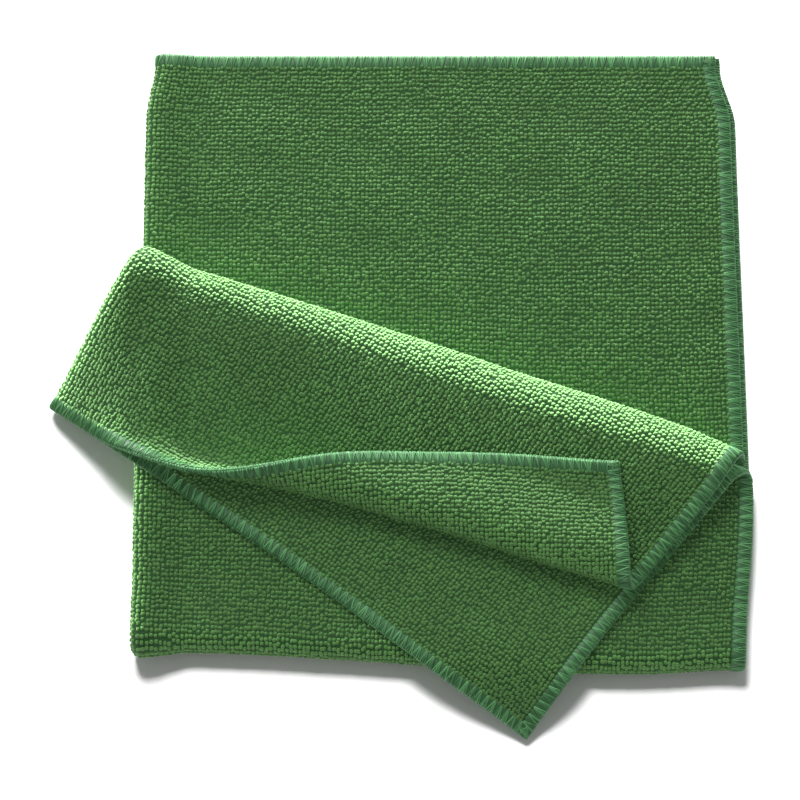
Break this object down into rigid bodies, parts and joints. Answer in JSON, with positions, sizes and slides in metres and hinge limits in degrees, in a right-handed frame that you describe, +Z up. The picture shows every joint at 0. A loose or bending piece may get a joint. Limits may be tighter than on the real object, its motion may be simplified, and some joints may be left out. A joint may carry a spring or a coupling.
{
  "type": "folded microfibre cloth",
  "caption": "Square terry microfibre cloth, folded in quarters, its top layers turned back along a slant and one corner curled up, with an overlocked hem.",
  "frame": {"origin": "centre of the folded cloth's bounding box, on the surface it lies on", "axes": "+Z up out of the surface, +Y towards the two stacked back hems, +X towards the right hems, with the first fold at -X and the second fold at -Y"},
  "size_m": [0.2256, 0.2264, 0.0302],
  "materials": {
    "green_terry": "matt looped pile",
    "hem_thread": "fine overlock thread, slightly bluer than the pile"
  },
  "bodies": {
    "root": {"cloth": "green_terry"}
  },
  "joints": []
}
